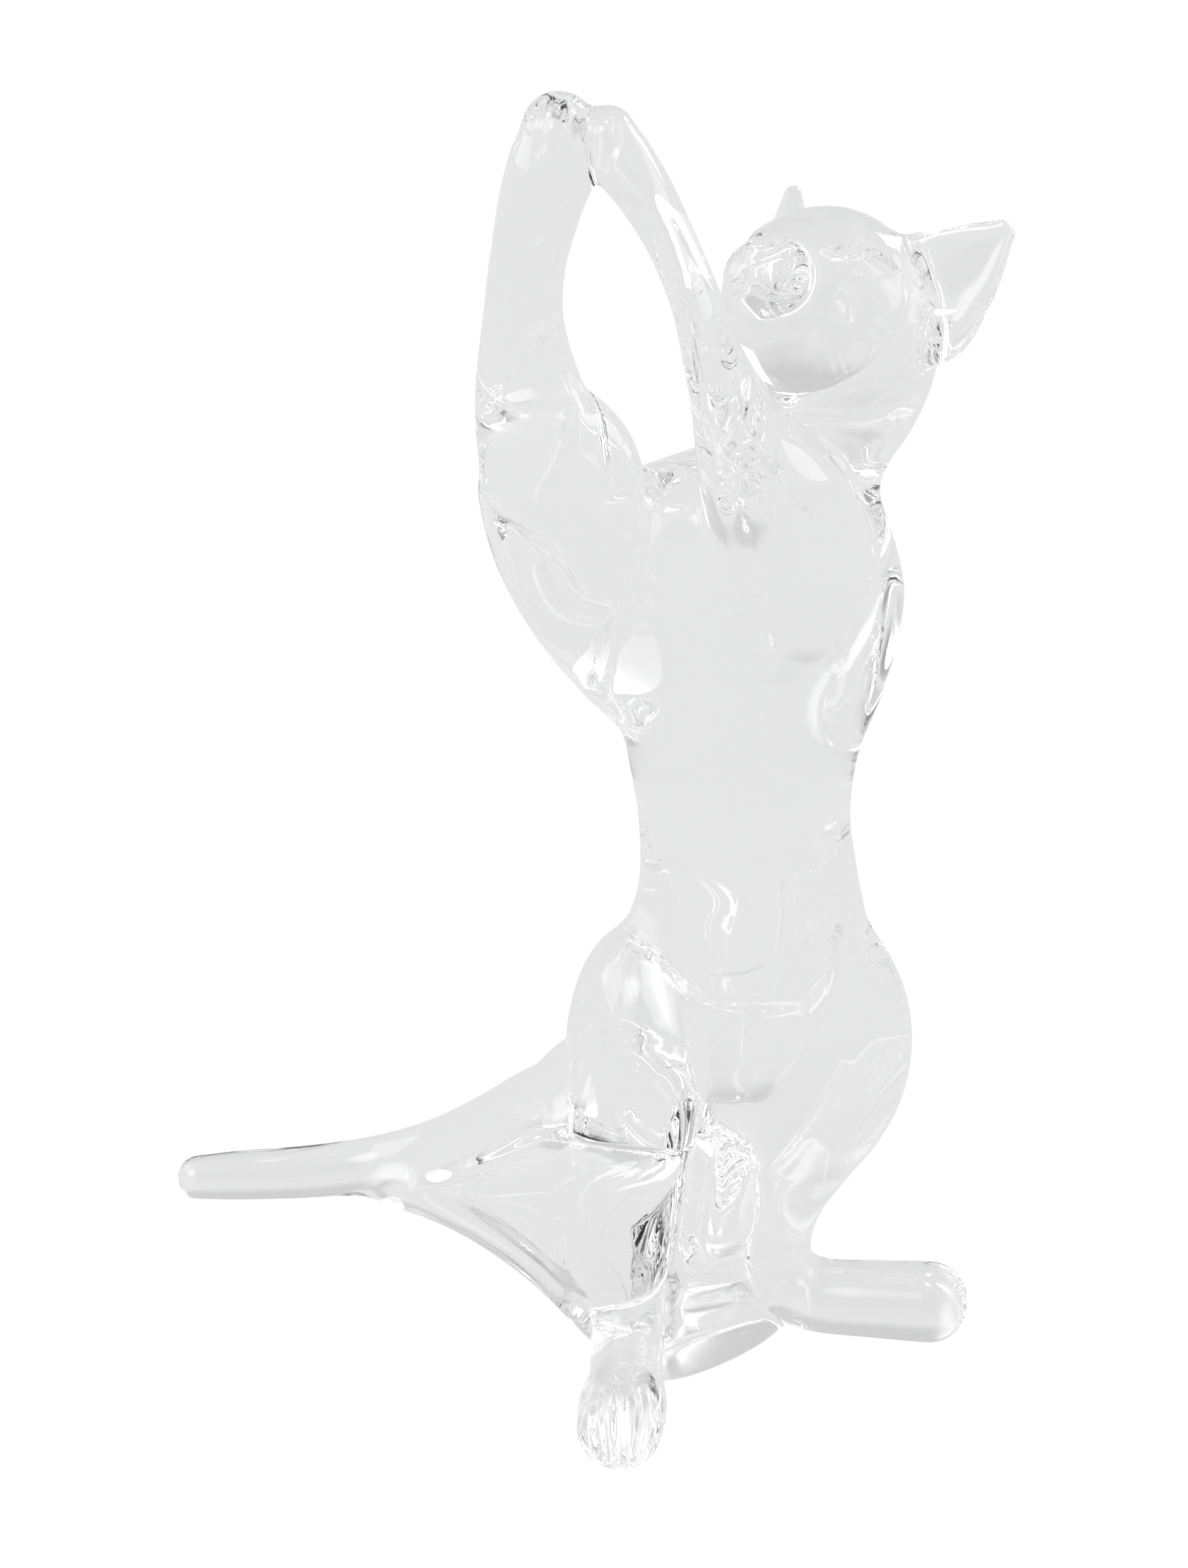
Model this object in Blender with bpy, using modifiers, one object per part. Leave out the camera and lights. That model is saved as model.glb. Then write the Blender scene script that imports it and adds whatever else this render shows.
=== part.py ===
"""Crystal glass cat figurine, standing on its hind legs and reaching up with both forelegs.

The figurine is worked hot: a body gather with the bits that are fused to it, which are the head,
ears, forelegs, hind legs with their feet, tail, and the two webs under the tail and between the
legs. Each section is its own object, and the fused seam between two neighbours is left as a fine
gap. The cat faces the front (-Y) and its own left side is +X. The origin is on the flat underside
of the web between the feet. Blender units are metres.
"""

import math

import bmesh
import bpy
from mathutils import Vector

# Driving dimensions
FIGURE_HEIGHT = 0.1975  # floor to the top of the raised paws
DRAWN_HEIGHT = 197.5  # the same height in the millimetres that the stations below are drawn in
SEAM_GAP = 0.0003  # fused seam between two sections
RING_SIDES = 12
SMOOTH_LEVELS = 1
RING_FULLNESS = 1.035  # makes up for what the smoothing takes off a ring
END_RISE = 0.55  # how far the last ring of a rounded end stands out, in half widths
END_SHRINK = 0.72  # size of that last ring against its station

METRES = FIGURE_HEIGHT / DRAWN_HEIGHT  # metres for one drawn millimetre

# Directions that the width of a section is measured along
ACROSS = Vector((1, 0, 0))
BACKWARD = Vector((0, 1, 0))
FOOT_TO_FOOT = Vector((0.67, 0.74, 0)).normalized()

# Upright sections of the figurine, which are drawn as level slices
LEVEL_SECTIONS = ("torso", "leg_web")

# Head: centre, radius, where the face points and where the cat's left ear lies
HEAD_CENTRE = Vector((16.4, 2.2, 160.6))
HEAD_RADIUS = 14.4
HEAD_FORWARD = Vector((-0.50, -0.564, 0.658)).normalized()
HEAD_UP = HEAD_FORWARD.cross(Vector((0.79, -0.609, 0.079))).normalized()
HEAD_LEFT = HEAD_UP.cross(HEAD_FORWARD)

CRYSTAL_COLOUR = (0.93, 0.95, 0.96, 1.0)
CRYSTAL_ROUGHNESS = 0.02
CRYSTAL_IOR = 1.55

# Each station is (centre, half width, half depth) in drawn millimetres, from one end to the other.
TORSO = [
    ((22.0, 3.5, 153.0), 10.2, 10.5),
    ((20.4, 4.0, 147.5), 10.4, 11.2),
    ((17.6, 3.8, 142.8), 11.0, 12.0),
    ((11.4, 2.5, 138.8), 14.4, 12.6),
    ((4.6, 0.6, 134.6), 19.6, 13.8),
    ((4.8, 0.4, 129.0), 21.0, 15.0),
    ((7.5, 1.5, 120.5), 20.4, 16.2),
    ((7.5, 1.5, 113.0), 19.9, 16.4),
    ((6.8, 1.0, 104.5), 18.4, 16.2),
    ((5.0, 1.0, 95.0), 16.8, 15.6),
    ((5.2, 1.5, 85.0), 15.5, 14.8),
    ((6.0, 2.5, 75.0), 16.0, 15.0),
    ((6.0, 4.0, 65.0), 17.6, 16.5),
    ((5.0, 5.5, 54.0), 17.4, 17.0),
    ((4.0, 7.0, 44.5), 13.0, 14.5),
    ((3.0, 8.0, 40.5), 8.0, 10.0),
]
HIND_LEG_RIGHT = [
    ((-5.0, 3.0, 65.0), 6.0, 9.5),
    ((-8.0, 2.0, 59.0), 9.8, 13.6),
    ((-9.8, 1.0, 51.5), 10.8, 14.8),
    ((-10.6, -1.5, 44.0), 10.2, 13.8),
    ((-11.2, -4.5, 36.0), 9.3, 11.8),
    ((-11.6, -8.0, 27.0), 7.8, 9.4),
    ((-11.9, -11.0, 18.0), 6.2, 7.4),
    ((-11.9, -13.2, 10.6), 5.4, 6.8),
    ((-11.9, -18.5, 6.2), 5.3, 6.4),
    ((-12.0, -26.0, 5.6), 5.6, 6.4),
    ((-12.5, -33.0, 5.8), 6.4, 6.8),
    ((-13.0, -39.0, 5.6), 6.2, 6.4),
]
HIND_LEG_LEFT = [
    ((12.0, 6.0, 65.0), 9.5, 6.5),
    ((15.5, 6.0, 59.5), 13.6, 10.4),
    ((17.2, 6.0, 52.0), 14.8, 12.8),
    ((16.9, 6.0, 44.5), 14.8, 13.4),
    ((14.8, 6.5, 37.0), 13.2, 12.6),
    ((12.6, 7.5, 29.5), 11.0, 10.2),
    ((10.8, 8.5, 21.5), 8.8, 7.5),
    ((10.2, 8.6, 14.0), 7.0, 5.9),
    ((11.2, 8.4, 8.0), 6.3, 5.8),
    ((17.0, 6.8, 5.4), 5.7, 5.7),
    ((25.5, 5.0, 5.4), 6.0, 5.9),
    ((33.5, 3.6, 5.6), 6.4, 6.2),
]
FORELEG_RIGHT = [
    ((-21.5, -22.5, 193.0), 5.2, 6.0),
    ((-22.2, -22.0, 188.5), 6.1, 7.0),
    ((-24.0, -21.0, 182.5), 5.8, 7.5),
    ((-25.8, -20.0, 174.0), 5.3, 8.0),
    ((-26.5, -19.0, 165.5), 5.6, 8.6),
    ((-26.1, -17.0, 156.5), 7.1, 9.5),
    ((-24.8, -15.0, 149.0), 8.9, 10.8),
    ((-21.8, -12.0, 141.0), 12.0, 12.0),
    ((-20.0, -9.0, 131.0), 11.4, 12.8),
    ((-16.0, -5.5, 120.5), 10.5, 12.8),
    ((-10.5, -2.5, 111.0), 9.0, 12.5),
    ((-3.5, 0.0, 103.5), 6.6, 10.5),
]
FORELEG_LEFT = [
    ((-14.8, -22.5, 192.6), 3.8, 6.0),
    ((-13.2, -23.2, 189.4), 4.4, 6.6),
    ((-9.8, -24.2, 184.6), 4.0, 7.2),
    ((-6.4, -25.0, 178.5), 3.5, 7.6),
    ((-3.0, -25.5, 170.5), 3.5, 8.0),
    ((-0.9, -25.0, 163.0), 3.9, 8.5),
    ((1.6, -23.0, 155.2), 5.1, 9.0),
    ((4.0, -20.0, 148.0), 6.9, 9.6),
    ((7.2, -16.0, 140.8), 9.4, 10.4),
    ((10.2, -12.0, 133.6), 10.9, 11.0),
    ((12.0, -9.5, 126.0), 11.0, 10.8),
    ((11.4, -9.5, 119.0), 8.6, 9.4),
    ((9.6, -9.8, 114.2), 5.0, 6.5),
]
TAIL = [
    ((3.0, 12.0, 45.0), 7.5, 8.0),
    ((-5.0, 14.5, 41.5), 7.2, 7.5),
    ((-12.0, 18.0, 37.5), 6.6, 6.8),
    ((-18.5, 24.5, 32.0), 6.0, 6.0),
    ((-25.5, 34.5, 25.0), 5.4, 5.5),
    ((-33.0, 43.5, 17.2), 4.9, 5.0),
    ((-41.0, 50.8, 10.6), 4.5, 4.6),
    ((-50.5, 55.0, 6.2), 4.2, 4.3),
    ((-61.5, 55.6, 4.3), 4.0, 4.2),
    ((-72.0, 55.2, 3.8), 3.9, 4.0),
    ((-79.3, 55.0, 3.5), 3.4, 3.5),
]
TAIL_WEB = [
    ((-9.0, -2.0, 14.0), 3.6, 14.6),
    ((-14.5, 3.5, 15.5), 3.6, 16.2),
    ((-18.5, 11.5, 16.0), 3.5, 16.8),
    ((-22.5, 20.5, 14.0), 3.3, 14.8),
    ((-27.0, 29.0, 11.0), 3.1, 11.8),
    ((-32.5, 37.5, 7.6), 2.9, 8.4),
    ((-38.5, 45.0, 4.8), 2.8, 5.5),
    ((-45.5, 51.0, 3.0), 2.7, 3.4),
]
LEG_WEB = [
    ((0.4, -1.0, -1.0), 17.0, 6.0),
    ((0.4, -0.6, 3.0), 16.5, 5.4),
    ((0.4, 0.2, 8.0), 14.5, 4.4),
    ((0.6, 1.5, 15.0), 12.0, 3.8),
    ((1.0, 3.0, 24.0), 10.0, 3.8),
    ((1.8, 4.5, 33.0), 8.5, 4.4),
    ((2.4, 5.5, 41.0), 7.5, 5.2),
]


def in_head(forward, left, up):
    """A move along the head's own axes, given in head radii, as drawn millimetres."""
    return HEAD_RADIUS * (forward * HEAD_FORWARD + left * HEAD_LEFT + up * HEAD_UP)


def head_stations():
    """Sections of the head, from the back of the skull to the muzzle."""
    profile = [
        # along forward, up, half width, half height, in head radii
        (-0.80, 0.00, 0.56, 0.54),
        (-0.50, 0.02, 0.90, 0.86),
        (-0.10, 0.02, 1.04, 0.99),
        (0.30, 0.00, 1.00, 0.95),
        (0.64, -0.06, 0.80, 0.77),
        (0.92, -0.15, 0.56, 0.54),
        (1.10, -0.19, 0.38, 0.36),
    ]
    return [
        (
            HEAD_CENTRE + in_head(along, 0, rise),
            half_width * HEAD_RADIUS,
            half_height * HEAD_RADIUS,
        )
        for along, rise, half_width, half_height in profile
    ]


def ear_stations(side):
    """Sections of one ear, from inside the skull to the tip. side is 1 for the cat's left ear."""
    profile = [
        # forward, out to the side, up, half width, half thickness, in head radii
        (-0.08, 0.55, 0.05, 0.58, 0.28),
        (-0.14, 0.88, 0.30, 0.68, 0.27),
        (-0.24, 1.12, 0.68, 0.50, 0.21),
        (-0.33, 1.29, 1.04, 0.28, 0.15),
        (-0.38, 1.40, 1.26, 0.12, 0.10),
    ]
    return [
        (
            HEAD_CENTRE + in_head(forward, side * out, rise),
            half_width * HEAD_RADIUS,
            half_depth * HEAD_RADIUS,
        )
        for forward, out, rise, half_width, half_depth in profile
    ]


def ear_spread(side):
    """Direction that an ear's base runs in, from the crown back and down."""
    return in_head(-0.5, side * 0.35, -0.8).normalized()


def section_axes(centres, index, reference, level):
    """Tangent, width axis and depth axis of one section, which is square to the limb or level."""
    before = centres[max(index - 1, 0)]
    after = centres[min(index + 1, len(centres) - 1)]
    tangent = (after - before).normalized()
    if level:
        tangent = Vector((0, 0, math.copysign(1, tangent.z)))
    width = (reference - reference.dot(tangent) * tangent).normalized()
    return tangent, width, tangent.cross(width)


def add_ring(body, centre, width, depth):
    """One oval ring of vertices. width and depth are the half axes as vectors."""
    ring = []
    for step in range(RING_SIDES):
        angle = 2 * math.pi * step / RING_SIDES
        offset = RING_FULLNESS * (math.cos(angle) * width + math.sin(angle) * depth)
        ring.append(body.verts.new(METRES * (centre + offset)))
    return ring


def bridge(body, ring, next_ring):
    """A band of quads between two rings."""
    for step in range(RING_SIDES):
        after = (step + 1) % RING_SIDES
        body.faces.new((ring[step], ring[after], next_ring[after], next_ring[step]))


def close_end(body, ring, tip):
    """A fan of triangles from a ring to the tip of a rounded end."""
    point = body.verts.new(METRES * tip)
    for step in range(RING_SIDES):
        body.faces.new((ring[step], ring[(step + 1) % RING_SIDES], point))


def loft_mesh(name, stations, reference, level):
    """A closed cage through the oval sections of a limb, with a rounded end at each side."""
    centres = [Vector(centre) for centre, _, _ in stations]
    last = len(stations) - 1
    body = bmesh.new()
    rings = []
    tips = []
    for index, (_, half_width, half_depth) in enumerate(stations):
        tangent, width, depth = section_axes(centres, index, reference, level)
        centre = centres[index]
        width = width * half_width
        depth = depth * half_depth
        outward = tangent * min(half_width, half_depth)
        if index == 0:
            rings.append(
                add_ring(
                    body, centre - END_RISE * outward, END_SHRINK * width, END_SHRINK * depth
                )
            )
            tips.append(centre - outward)
        rings.append(add_ring(body, centre, width, depth))
        if index == last:
            rings.append(
                add_ring(
                    body, centre + END_RISE * outward, END_SHRINK * width, END_SHRINK * depth
                )
            )
            tips.append(centre + outward)
    for ring, next_ring in zip(rings, rings[1:]):
        bridge(body, ring, next_ring)
    close_end(body, rings[0], tips[0])
    close_end(body, rings[-1], tips[1])
    bmesh.ops.recalc_face_normals(body, faces=body.faces)
    mesh = bpy.data.meshes.new(name)
    body.to_mesh(mesh)
    body.free()
    return mesh


def add_solid(name, mesh, collection):
    """An object for a cage, rounded by subdivision."""
    solid = bpy.data.objects.new(name, mesh)
    collection.objects.link(solid)
    smoothing = solid.modifiers.new("soft form", "SUBSURF")
    smoothing.levels = SMOOTH_LEVELS
    smoothing.render_levels = SMOOTH_LEVELS
    return solid


def as_cutter(cutter):
    """Marks an object as a cutter, which isn't part of the figurine."""
    cutter.hide_render = True
    cutter.display_type = "WIRE"


def add_swollen_cutter(name, mesh, collection):
    """A cutter in a section's shape, larger all round by the gap of the fused seam."""
    cutter = add_solid(name, mesh, collection)
    swell = cutter.modifiers.new("seam gap", "DISPLACE")
    swell.mid_level = 0.0
    swell.strength = SEAM_GAP
    as_cutter(cutter)
    return cutter


def add_floor_cutter(collection):
    """A block below the floor, which grinds the soles and the webs flat."""
    size = 2 * FIGURE_HEIGHT
    bpy.ops.mesh.primitive_cube_add(size=size, location=(0, 0, -size / 2))
    block = bpy.context.object
    block.name = "floor_cutter"
    for owner in list(block.users_collection):
        owner.objects.unlink(block)
    collection.objects.link(block)
    as_cutter(block)
    return block


def cut(solid, cutter_objects, parent):
    """Takes the shapes of all its cutters away from a section in one step."""
    group = new_collection("cutters_of_" + solid.name, parent)
    for cutter in cutter_objects:
        group.objects.link(cutter)
    boolean = solid.modifiers.new("seams and floor", "BOOLEAN")
    boolean.operation = "DIFFERENCE"
    boolean.solver = "EXACT"
    boolean.operand_type = "COLLECTION"
    boolean.collection = group


def crystal():
    """Clear, water-white lead crystal."""
    material = bpy.data.materials.new("crystal")
    material.use_nodes = True
    shader = material.node_tree.nodes["Principled BSDF"]
    shader.inputs["Base Color"].default_value = CRYSTAL_COLOUR
    shader.inputs["Roughness"].default_value = CRYSTAL_ROUGHNESS
    shader.inputs["Metallic"].default_value = 0.0
    shader.inputs["IOR"].default_value = CRYSTAL_IOR
    shader.inputs["Transmission Weight"].default_value = 1.0
    return material


def new_collection(name, parent):
    collection = bpy.data.collections.new(name)
    parent.children.link(collection)
    return collection


def main():
    for leftover in list(bpy.data.objects):
        bpy.data.objects.remove(leftover)
    figurine = new_collection("crystal_cat_figurine", bpy.context.scene.collection)
    cutters = new_collection("cutters", bpy.context.scene.collection)
    floor = add_floor_cutter(cutters)
    glass = crystal()
    # Sections in the order in which they are fused: name, stations, width reference, whether it
    # stands on the floor, and the earlier sections that it's fused to.
    plan = [
        ("torso", TORSO, ACROSS, False, ()),
        ("head", head_stations(), HEAD_LEFT, False, ("torso",)),
        ("ear_left", ear_stations(1), ear_spread(1), False, ("head", "torso")),
        ("ear_right", ear_stations(-1), ear_spread(-1), False, ("head", "torso")),
        ("foreleg_right", FORELEG_RIGHT, ACROSS, False, ("torso",)),
        ("foreleg_left", FORELEG_LEFT, ACROSS, False, ("torso", "head", "foreleg_right")),
        ("hind_leg_right", HIND_LEG_RIGHT, ACROSS, True, ("torso",)),
        ("hind_leg_left", HIND_LEG_LEFT, BACKWARD, True, ("torso", "hind_leg_right")),
        ("tail", TAIL, BACKWARD, True, ("torso", "hind_leg_right", "hind_leg_left")),
        (
            "tail_web",
            TAIL_WEB,
            ACROSS,
            True,
            ("torso", "tail", "hind_leg_right", "hind_leg_left"),
        ),
        (
            "leg_web",
            LEG_WEB,
            FOOT_TO_FOOT,
            True,
            ("torso", "hind_leg_right", "hind_leg_left", "tail", "tail_web"),
        ),
    ]
    swollen = {}
    for name, stations, reference, on_floor, neighbours in plan:
        cage = loft_mesh(name, stations, reference, name in LEVEL_SECTIONS)
        cage.materials.append(glass)
        cage.shade_smooth()
        section = add_solid(name, cage, figurine)
        section_cutters = [swollen[neighbour] for neighbour in neighbours]
        if on_floor:
            section_cutters.append(floor)
        if section_cutters:
            cut(section, section_cutters, cutters)
        swollen[name] = add_swollen_cutter(name + "_cutter", cage, cutters)


main()
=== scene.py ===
"""Looks of a crystal cat figurine: one fused glass skin, its finish, and a small studio.

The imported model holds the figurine's sections as separate solids. On the finished object these
sections are fused while hot, so light passes from one to the next with no seam. This script makes
that skin. Each limb is a spine of oval sections, and a limb gives the distance from any point to
its surface. The distances are merged with soft fillets, creases and hollows are pressed in, and a
clay of overlapping beads, remeshed into one closed mesh, is drawn onto the merged surface.

Shapes are in drawn millimetres in the figurine's own frame, and the frame gives their scale.
"""

import logging
import math
from dataclasses import dataclass, replace
from enum import Enum

import bmesh
import bpy
import numpy as np
from mathutils import Matrix, Vector

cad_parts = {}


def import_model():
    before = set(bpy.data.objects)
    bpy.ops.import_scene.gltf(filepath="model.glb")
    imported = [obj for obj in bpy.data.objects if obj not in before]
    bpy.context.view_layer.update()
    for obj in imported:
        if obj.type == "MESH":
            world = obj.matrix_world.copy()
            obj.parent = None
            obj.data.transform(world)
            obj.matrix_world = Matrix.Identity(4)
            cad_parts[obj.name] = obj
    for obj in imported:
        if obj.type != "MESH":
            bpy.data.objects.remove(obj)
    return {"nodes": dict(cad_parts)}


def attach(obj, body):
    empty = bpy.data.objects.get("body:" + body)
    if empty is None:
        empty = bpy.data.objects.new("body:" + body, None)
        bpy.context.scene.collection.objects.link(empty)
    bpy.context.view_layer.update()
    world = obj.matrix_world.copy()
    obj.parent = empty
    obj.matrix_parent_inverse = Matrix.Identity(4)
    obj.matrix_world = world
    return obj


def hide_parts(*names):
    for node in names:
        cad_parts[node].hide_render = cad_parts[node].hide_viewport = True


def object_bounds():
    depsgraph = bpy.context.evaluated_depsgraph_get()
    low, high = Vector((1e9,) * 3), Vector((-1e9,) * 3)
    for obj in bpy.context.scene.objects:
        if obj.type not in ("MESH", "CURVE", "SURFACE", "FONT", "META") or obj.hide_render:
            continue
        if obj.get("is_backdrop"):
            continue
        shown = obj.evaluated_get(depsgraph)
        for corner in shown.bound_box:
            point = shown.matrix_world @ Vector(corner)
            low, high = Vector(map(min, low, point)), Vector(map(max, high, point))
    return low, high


log = logging.getLogger("crystal_cat")

Triple = tuple[float, float, float]

DRAWN_HEIGHT = 197.5  # height of the raised paws in the drawn millimetres
FAR = 60.0  # distance given to points that are nowhere near a limb
NEAR_MARGIN = 9.0  # how far round a limb its distance is worked out
SPAN_SAMPLES = 7  # samples of a spine between two stations
LAYING_ROUNDS = 8  # Newton steps that lay a mark's points on the surface
TINY = 1e-9


class SectionPlane(Enum):
    """How the sections of a limb lie."""

    SQUARE = "square to the spine"
    LEVEL = "level slices"


class Zone(Enum):
    """Parts of the skin with fine detail, as a low and a high corner in drawn millimetres."""

    HEAD = ((-2.0, -22.0, 147.0), (46.0, 32.0, 182.0))
    RIGHT_TOES = ((-21.0, -47.0, -1.0), (-4.0, -33.0, 14.0))
    LEFT_TOES = ((29.0, -4.0, -1.0), (42.0, 12.0, 14.0))
    BELLY = ((-12.0, -18.0, 54.0), (23.0, 1.0, 80.0))
    PAWS = ((-30.0, -34.0, 184.0), (-6.0, -14.0, 199.0))


# ---------------------------------------------------------------------------------------------
# Small pieces of geometry
# ---------------------------------------------------------------------------------------------


def unit(vectors: np.ndarray) -> np.ndarray:
    """Vectors along the last axis at length one."""
    return vectors / np.maximum(np.linalg.norm(vectors, axis=-1, keepdims=True), TINY)


def smooth_rows(rows: np.ndarray, per_span: int) -> np.ndarray:
    """Samples a smooth curve through rows of numbers.

    Args:
        rows: The values at each station, one station a row.
        per_span: Samples between two stations.

    Returns:
        The sampled rows, with the first and last station at the ends.
    """
    padded = np.vstack([2 * rows[0] - rows[1], rows, 2 * rows[-1] - rows[-2]])
    samples = []
    for span in range(len(rows) - 1):
        before, start, end, after = padded[span : span + 4]
        for step in range(per_span):
            t = step / per_span
            samples.append(
                0.5
                * (
                    2 * start
                    + (end - before) * t
                    + (2 * before - 5 * start + 4 * end - after) * t**2
                    + (3 * start - before - 3 * end + after) * t**3
                )
            )
    samples.append(rows[-1])
    return np.array(samples)


def nearest_on_path(points: np.ndarray, path: np.ndarray) -> tuple[np.ndarray, np.ndarray]:
    """Finds where each point is nearest to an open path.

    Args:
        points: Points, one a row.
        path: The path's corners, one a row.

    Returns:
        The distance to the path, and the place on it as a corner number with its fraction.
    """
    starts = path[:-1]
    runs = path[1:] - starts
    run_squares = np.maximum((runs**2).sum(axis=1), TINY)
    along = points @ runs.T - (starts * runs).sum(axis=1)
    along_fraction = np.clip(along / run_squares, 0.0, 1.0)
    squares = (
        (points**2).sum(axis=1)[:, None]
        - 2 * points @ starts.T
        + (starts**2).sum(axis=1)
        - 2 * along_fraction * along
        + along_fraction**2 * run_squares
    )
    nearest = squares.argmin(axis=1)
    rows = np.arange(len(points))
    distance = np.sqrt(np.maximum(squares[rows, nearest], 0.0))
    return distance, nearest + along_fraction[rows, nearest]


def blend_rows(rows: np.ndarray, place: np.ndarray) -> np.ndarray:
    """Reads rows at fractional row numbers, with straight lines between the rows.

    Args:
        rows: The rows.
        place: Row numbers with their fractions.

    Returns:
        The values read, one row for each place.
    """
    low = np.minimum(place.astype(int), len(rows) - 2)
    fraction = (place - low)[:, None]
    return rows[low] * (1 - fraction) + rows[low + 1] * fraction


def curve_rows(rows: np.ndarray, slopes: np.ndarray, place: np.ndarray) -> np.ndarray:
    """Reads rows at fractional row numbers, with a curve through the rows that has their slopes.

    Args:
        rows: The rows.
        slopes: How fast each row changes from row to row.
        place: Row numbers with their fractions.

    Returns:
        The values read, one row for each place.
    """
    low = np.minimum(place.astype(int), len(rows) - 2)
    t = (place - low)[:, None]
    run = rows[low + 1] - rows[low]
    bend = (1 - t) * (slopes[low] - run) - t * (slopes[low + 1] - run)
    return rows[low] + t * run + t * (1 - t) * bend


def soft_minimum(first: np.ndarray, second: np.ndarray, fillet: float) -> np.ndarray:
    """The lower of two distances, with a fillet where they are alike.

    Args:
        first: One distance at each point.
        second: The other distance at each point.
        fillet: Size of the fillet.

    Returns:
        The merged distance at each point.
    """
    overlap = np.maximum(fillet - np.abs(first - second), 0.0) / fillet
    return np.minimum(first, second) - overlap**2 * fillet / 4


def soft_maximum(first: np.ndarray, second: np.ndarray, fillet: float) -> np.ndarray:
    """The higher of two distances, with a rounded edge of that size where they are alike."""
    return -soft_minimum(-first, -second, fillet)


def smooth_step(values: np.ndarray, low: float, high: float) -> np.ndarray:
    """Rises smoothly from 0 to 1.

    Args:
        values: The values to grade.
        low: Value up to which the result is 0.
        high: Value from which the result is 1.

    Returns:
        The graded values.
    """
    fraction = np.clip((values - low) / (high - low), 0.0, 1.0)
    return fraction**2 * (3 - 2 * fraction)


# ---------------------------------------------------------------------------------------------
# Limbs
# ---------------------------------------------------------------------------------------------


@dataclass(frozen=True)
class Station:
    """One oval section of a limb: its centre, half width and half depth."""

    centre: Triple
    half_width: float
    half_depth: float


def as_triples(points: np.ndarray) -> tuple[Triple, ...]:
    """Rows of numbers as a tuple of points."""
    return tuple(tuple(float(value) for value in point) for point in points)


def stations(*rows: tuple[Triple, float, float]) -> tuple[Station, ...]:
    """Stations from rows of centre, half width and half depth."""
    return tuple(Station(*row) for row in rows)


@dataclass
class Limb:
    """A limb of glass with a spine of oval sections and round ends.

    Attributes:
        name: What the limb is.
        sections: Its stations from one end to the other.
        width_axis: The direction that widths are measured along.
        fillet: Size of the soft fillet where it meets what is already there.
        plane: How the sections lie.
        end_round: Length of the last round end over its smaller half.
    """

    name: str
    sections: tuple[Station, ...]
    width_axis: Triple
    fillet: float
    plane: SectionPlane = SectionPlane.SQUARE
    end_round: float = 1.0

    def __post_init__(self) -> None:
        """Works out the spine's samples and the axes of its sections."""
        rows = np.array([[*s.centre, s.half_width, s.half_depth] for s in self.sections])
        sampled = smooth_rows(rows, SPAN_SAMPLES)
        self.sampled = sampled
        self.slopes = np.gradient(sampled, axis=0)
        self.centres = sampled[:, :3]
        self.halves = sampled[:, 3:]
        self.tangents = unit(self.slopes[:, :3])
        if self.plane is SectionPlane.LEVEL:
            upward = np.sign(self.centres[-1, 2] - self.centres[0, 2])
            self.tangents = np.tile((0.0, 0.0, upward), (len(self.centres), 1))
        reference = np.array(self.width_axis)
        along = (self.tangents @ reference)[:, None]
        self.widths = unit(reference - along * self.tangents)
        self.depths = np.cross(self.tangents, self.widths)
        reach = self.halves.max(axis=1)[:, None] + NEAR_MARGIN
        self.low = (self.centres - reach).min(axis=0)
        self.high = (self.centres + reach).max(axis=0)

    def place_on_spine(self, points: np.ndarray) -> np.ndarray:
        """Finds the section that each point belongs to.

        Args:
            points: Points, one a row.

        Returns:
            For each point, the sample's number with its fraction.
        """
        if self.plane is SectionPlane.SQUARE:
            place = nearest_on_path(points, self.centres)[1]
            last = len(self.centres) - 1.0
            least_closing = 0.3
            for _ in range(2):
                low = np.minimum(place.astype(int), len(self.centres) - 2)
                offset = points - curve_rows(self.sampled, self.slopes, place)[:, :3]
                tangent = blend_rows(self.tangents, place)
                turn = self.tangents[low + 1] - self.tangents[low]
                spacing = np.linalg.norm(self.centres[low + 1] - self.centres[low], axis=1)
                closing = np.maximum(spacing - (offset * turn).sum(axis=1), least_closing * spacing)
                move = np.clip((offset * tangent).sum(axis=1) / closing, -1.0, 1.0)
                place = np.clip(place + move, 0.0, last)
            return place
        heights = self.centres[:, 2]
        numbers = np.arange(len(heights), dtype=float)
        if heights[0] > heights[-1]:
            return np.interp(points[:, 2], heights[::-1], numbers[::-1])
        return np.interp(points[:, 2], heights, numbers)

    def distance(self, points: np.ndarray) -> np.ndarray:
        """Measures how far points are from the limb's surface.

        Args:
            points: Points, one a row.

        Returns:
            The distance at each point, below zero inside the limb.
        """
        result = np.full(len(points), FAR)
        near = np.all((points > self.low) & (points < self.high), axis=1)
        if not near.any():
            return result
        chosen = points[near]
        place = self.place_on_spine(chosen)
        section = curve_rows(self.sampled, self.slopes, place)
        offset = chosen - section[:, :3]
        halves = section[:, 3:]
        tangent = unit(blend_rows(self.tangents, place))
        across = (offset * unit(blend_rows(self.widths, place))).sum(axis=1)
        deep = (offset * unit(blend_rows(self.depths, place))).sum(axis=1)
        beyond = (offset * tangent).sum(axis=1)
        at_start = (place <= 0.0) & (beyond < 0)
        at_end = (place >= len(self.centres) - 1) & (beyond > 0)
        beyond = np.where(at_start | at_end, beyond, 0.0)
        cap = halves.min(axis=1) * np.where(at_end, self.end_round, 1.0)
        radii = np.column_stack([halves, cap])
        local = np.column_stack([across, deep, beyond])
        scaled = np.linalg.norm(local / radii, axis=1)
        steep = np.maximum(np.linalg.norm(local / radii**2, axis=1), TINY)
        result[near] = scaled * (scaled - 1) / steep
        return result


# ---------------------------------------------------------------------------------------------
# What is pressed into the soft glass, or raised on it
# ---------------------------------------------------------------------------------------------


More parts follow.
